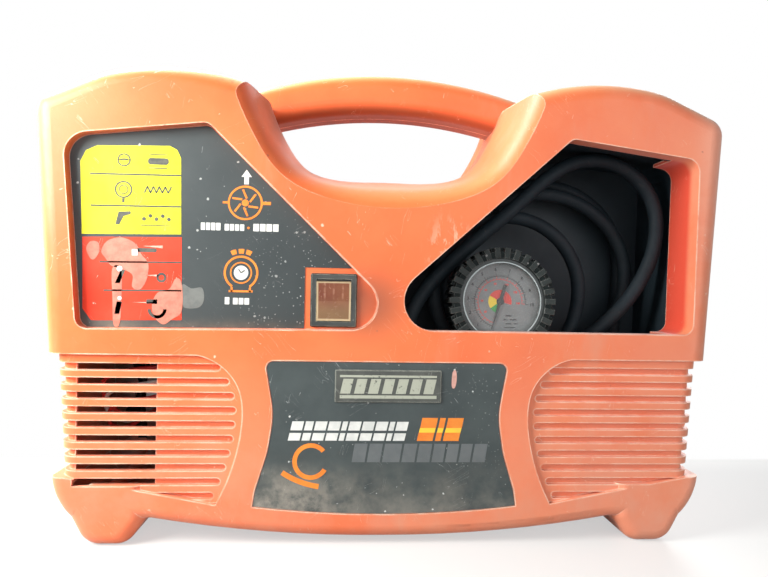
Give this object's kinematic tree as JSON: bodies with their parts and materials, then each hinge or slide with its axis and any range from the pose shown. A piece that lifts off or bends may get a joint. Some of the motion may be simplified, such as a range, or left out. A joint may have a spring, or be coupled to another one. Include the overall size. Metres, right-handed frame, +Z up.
{
  "type": "portable tire inflator",
  "caption": "Suitcase-shaped portable air compressor in an orange moulded case with a carrying handle, louvred base, rocker switch, and a hose and tire inflator gun with a gauge in its window.",
  "frame": {"origin": "on the floor, midway between the feet and under the middle of the case's depth", "axes": "+X to the user's right along the case's length, +Y to the back, +Z up"},
  "size_m": [0.4858, 0.1916, 0.3529],
  "materials": {
    "orange_shell": "moulded orange plastic, worn, with pale scuffs on the edges",
    "zinc_steel": "zinc plated steel",
    "charcoal_film": "charcoal label film, specked and scratched",
    "dark_plate": "dark painted plate with a satin face",
    "black_plastic": "black switch plastic, glossy",
    "rocker_plastic": "smoked translucent brown rocker",
    "bin_plastic": "black moulded liner",
    "lamination": "stacked steel laminations",
    "copper": "varnished copper winding",
    "cast_alloy": "die cast aluminium",
    "rotor_steel": "steel rotor with cast end rings",
    "shaft_steel": "ground steel",
    "fan_plastic": "black moulded fan",
    "bearing_steel": "polished bearing steel",
    "crank_iron": "cast iron with a machined pin",
    "bush_bronze": "bronze bush",
    "seal_ptfe": "filled PTFE cup seal",
    "gasket": "pressed fibre gasket",
    "spring_steel": "blued spring steel reeds",
    "filter_plastic": "black intake muffler",
    "bracket_paint": "black painted steel",
    "mount_rubber": "soft black rubber",
    "cap_plastic": "pale capacitor can",
    "gland_nylon": "black nylon gland",
    "fitting_brass": "turned brass",
    "pipe_metal": "bent aluminium pipe",
    "gun_metal": "die cast gun body",
    "lever_metal": "black coated lever",
    "chuck_chrome": "chromed brass chuck",
    "boot_rubber": "dark grey rubber boot",
    "gauge_steel": "black gauge case",
    "dial_paint": "white gauge dial",
    "gauge_brass": "brass gauge movement",
    "pointer_paint": "black pointer",
    "gauge_window": "clear gauge window",
    "bezel_clear": "clear bezel ring over the rim",
    "hose_rubber": "black air hose"
  },
  "bodies": {
    "housing": {"front_shell": "orange_shell", "rear_shell": "orange_shell", "shell_screws": "zinc_steel", "control_label": "charcoal_film", "badge_plate": "dark_plate", "name_plate": "dark_plate", "switch_body": "black_plastic", "storage_bin": "bin_plastic", "stator_core": "lamination", "stator_windings": "copper", "fan_end_bearing": "bearing_steel", "drive_end_bearing": "bearing_steel", "motor_end_cover": "cast_alloy", "motor_bolts": "zinc_steel", "crankcase": "cast_alloy", "cylinder": "cast_alloy", "head_gasket": "gasket", "valve_plate": "rotor_steel", "reed_valves": "spring_steel", "cylinder_head": "cast_alloy", "head_bolts": "zinc_steel", "intake_filter": "filter_plastic", "base_bracket": "bracket_paint", "rubber_mounts": "mount_rubber", "mount_nuts": "zinc_steel", "run_capacitor": "cap_plastic", "cable_gland": "gland_nylon", "gland_nut": "gland_nylon", "outlet_fitting": "fitting_brass", "outlet_pipe": "pipe_metal", "gun_body": "gun_metal", "hinge_pin": "shaft_steel", "hose_ferrule": "fitting_brass", "tyre_chuck": "chuck_chrome", "gauge_boot": "boot_rubber", "gauge_case": "gauge_steel", "gauge_dial": "dial_paint", "bourdon_tube": "gauge_brass", "gauge_movement": "gauge_brass", "gauge_glass": "gauge_window", "gauge_bezel": "bezel_clear", "hose_coil": "hose_rubber", "hose_lead": "hose_rubber", "hose_tail": "hose_rubber"},
    "rocker": {"switch_rocker": "rocker_plastic"},
    "rotor": {"rotor_core": "rotor_steel", "motor_shaft": "shaft_steel", "cooling_fan": "fan_plastic", "crankshaft": "crank_iron"},
    "piston": {"connecting_rod": "cast_alloy", "rod_bush": "bush_bronze", "piston_seal": "seal_ptfe", "seal_retainer": "shaft_steel"},
    "trigger": {"gun_trigger": "lever_metal"},
    "plunger": {"valve_plunger": "fitting_brass"},
    "bleed": {"bleed_button": "fitting_brass"},
    "pointer": {"gauge_pointer": "pointer_paint"}
  },
  "joints": [
    {"name": "power_rocker", "type": "hinge", "parent": "housing", "child": "rocker", "pos_m": [-0.0385, -0.086, 0.1689], "axis": [-1, 0, 0], "range_deg": [0, 16]},
    {"name": "motor_spin", "type": "hinge", "parent": "housing", "child": "rotor", "pos_m": [-0.12, 0.035, 0.084], "axis": [1, 0, 0], "continuous": true},
    {"name": "piston_slide", "type": "slide", "parent": "housing", "child": "piston", "axis": [0, 0, 1], "range_m": [-0.008, 0.008]},
    {"name": "gun_trigger_press", "type": "hinge", "parent": "housing", "child": "trigger", "pos_m": [0.103, -0.06666, 0.128], "axis": [0, 0.9962, -0.0872], "range_deg": [0, 7], "stiffness_Nm_per_rad": 1.2, "springref_deg": -8.59},
    {"name": "plunger_slide", "type": "slide", "parent": "housing", "child": "plunger", "axis": [0, -0.0872, -0.9962], "range_m": [0, 0.0024]},
    {"name": "bleed_press", "type": "slide", "parent": "housing", "child": "bleed", "axis": [0, -0.0872, -0.9962], "range_m": [0, 0.002], "stiffness_N_per_m": 400, "springref_m": -0.001},
    {"name": "gauge_reading", "type": "hinge", "parent": "housing", "child": "pointer", "pos_m": [0.0846, -0.0755, 0.1704], "axis": [0, 0.9962, -0.0872], "range_deg": [0, 255], "stiffness_Nm_per_rad": 0.0005, "springref_deg": -11.46}
  ],
  "couplings": [
    {"joint": "plunger_slide", "follows": "gun_trigger_press", "m_per_rad": 0.019}
  ]
}
